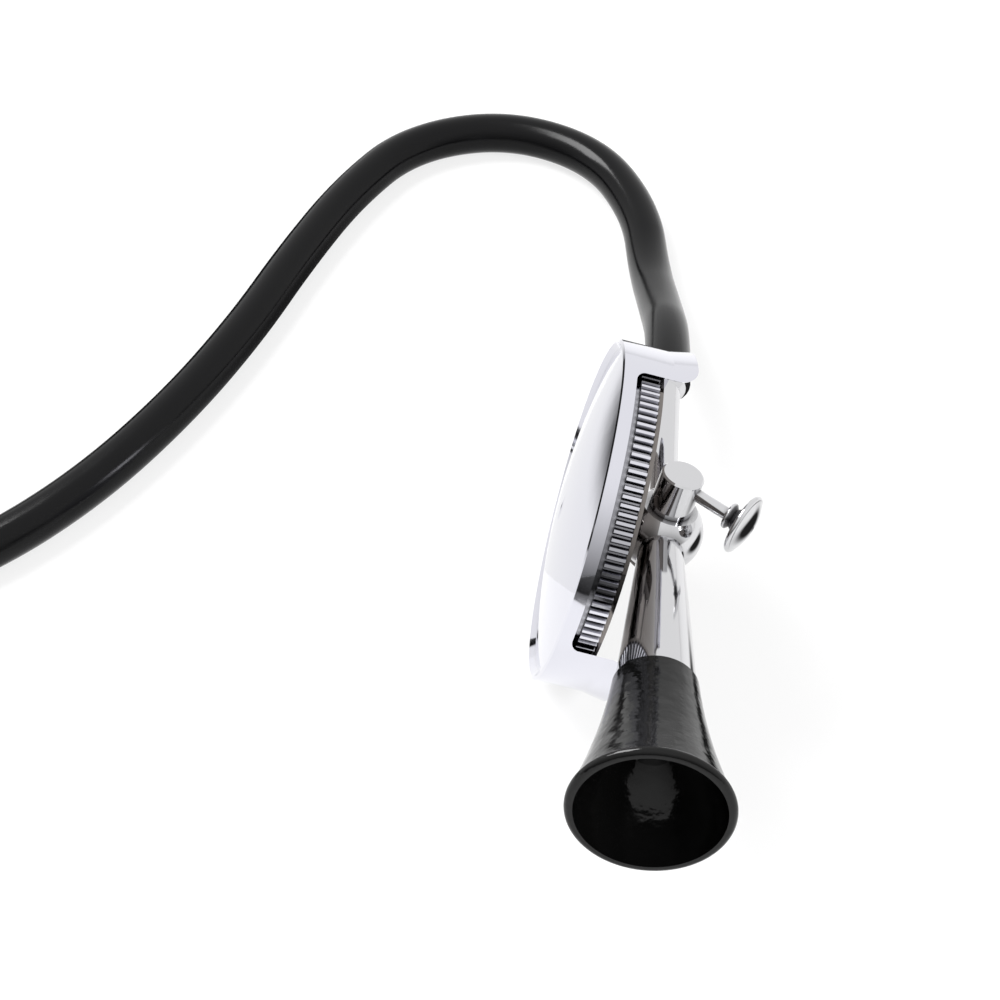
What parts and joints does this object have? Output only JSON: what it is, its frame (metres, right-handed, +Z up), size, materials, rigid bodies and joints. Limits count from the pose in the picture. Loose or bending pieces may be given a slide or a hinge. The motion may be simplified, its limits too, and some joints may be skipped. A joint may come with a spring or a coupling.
{
  "type": "stethoscope",
  "caption": "Acoustic stethoscope: diaphragm side with knurled ring and snap cover, ball valve, flared bell, rubber tube, folding spring headset.",
  "frame": {"origin": "the point where the snap cover's edge stands on the table, mount table_point", "axes": "+Z up from the table; +X from the headset's side to the valve's side of the disc, level; +Y away from the bell's mouth"},
  "size_m": [0.4159, 0.2161, 0.059],
  "materials": {
    "plated_brass": "mirror plated",
    "spring_steel": "polished spring strip",
    "hard_rubber": "polished black",
    "tube_rubber": "semi-gloss black",
    "gasket_rubber": "matt",
    "diaphragm_resin": "satin sheet"
  },
  "bodies": {
    "root": {"drum_body": "plated_brass", "diaphragm": "diaphragm_resin", "diaphragm_gasket": "gasket_rubber", "hex_collar": "plated_brass", "valve_body": "plated_brass", "tube_nipple": "plated_brass", "main_tube": "tube_rubber", "yoke": "plated_brass", "branch_tube_left": "tube_rubber", "branch_tube_right": "tube_rubber"},
    "bezel": {"bezel_ring": "plated_brass"},
    "cover": {"snap_cover": "plated_brass"},
    "valve": {"valve_plug": "plated_brass", "plug_washer": "plated_brass", "plug_screw": "plated_brass", "lever_rod": "plated_brass", "lever_knob": "plated_brass"},
    "bell": {"bell_shank": "plated_brass", "bell_horn": "hard_rubber"},
    "left_ear": {"ear_tube_left": "plated_brass", "spring_clip_left": "plated_brass", "spring_leaf_left": "spring_steel", "spring_rivet_left": "plated_brass", "spring_pin": "plated_brass"},
    "right_ear": {"ear_tube_right": "plated_brass", "spring_clip_right": "plated_brass", "spring_leaf_right": "spring_steel", "spring_rivet_right": "plated_brass"},
    "left_tip": {"ear_tip_left": "hard_rubber"},
    "right_tip": {"ear_tip_right": "hard_rubber"}
  },
  "joints": [
    {"name": "ring_turn", "type": "hinge", "parent": "root", "child": "bezel", "pos_m": [0.01081, 0.00567, 0.02728], "axis": [0.966, -0.1255, -0.226], "range_deg": [0, 360]},
    {"name": "cover_off", "type": "slide", "parent": "root", "child": "cover", "axis": [-0.966, 0.1255, 0.226], "range_m": [0, 0.02]},
    {"name": "valve_turn", "type": "hinge", "parent": "root", "child": "valve", "pos_m": [0.01081, 0.00567, 0.02728], "axis": [0.2432, 0.1453, 0.959], "range_deg": [-60, 30]},
    {"name": "bell_turn", "type": "hinge", "parent": "root", "child": "bell", "pos_m": [0.01081, 0.00567, 0.02728], "axis": [-0.0875, -0.9814, 0.1708], "range_deg": [0, 360]},
    {"name": "left_ear_spread", "type": "hinge", "parent": "root", "child": "left_ear", "pos_m": [-0.23403, -0.00548, 0.00425], "axis": [0, 0, 1], "range_deg": [0, 22], "stiffness_Nm_per_rad": 2, "deforming": ["branch_tube_left"]},
    {"name": "right_ear_spread", "type": "hinge", "parent": "root", "child": "right_ear", "pos_m": [-0.23403, -0.00548, 0.00425], "axis": [0, 0, 1], "range_deg": [-22, 0], "stiffness_Nm_per_rad": 2, "deforming": ["branch_tube_right"]},
    {"name": "left_tip_pull", "type": "slide", "parent": "left_ear", "child": "left_tip", "axis": [-0.7291, 0.6452, 0.2281], "range_m": [0, 0.012]},
    {"name": "right_tip_pull", "type": "slide", "parent": "right_ear", "child": "right_tip", "axis": [-0.4694, -0.853, 0.2281], "range_m": [0, 0.012]}
  ],
  "couplings": [
    {"joint": "right_ear_spread", "follows": "left_ear_spread", "ratio": -1}
  ]
}
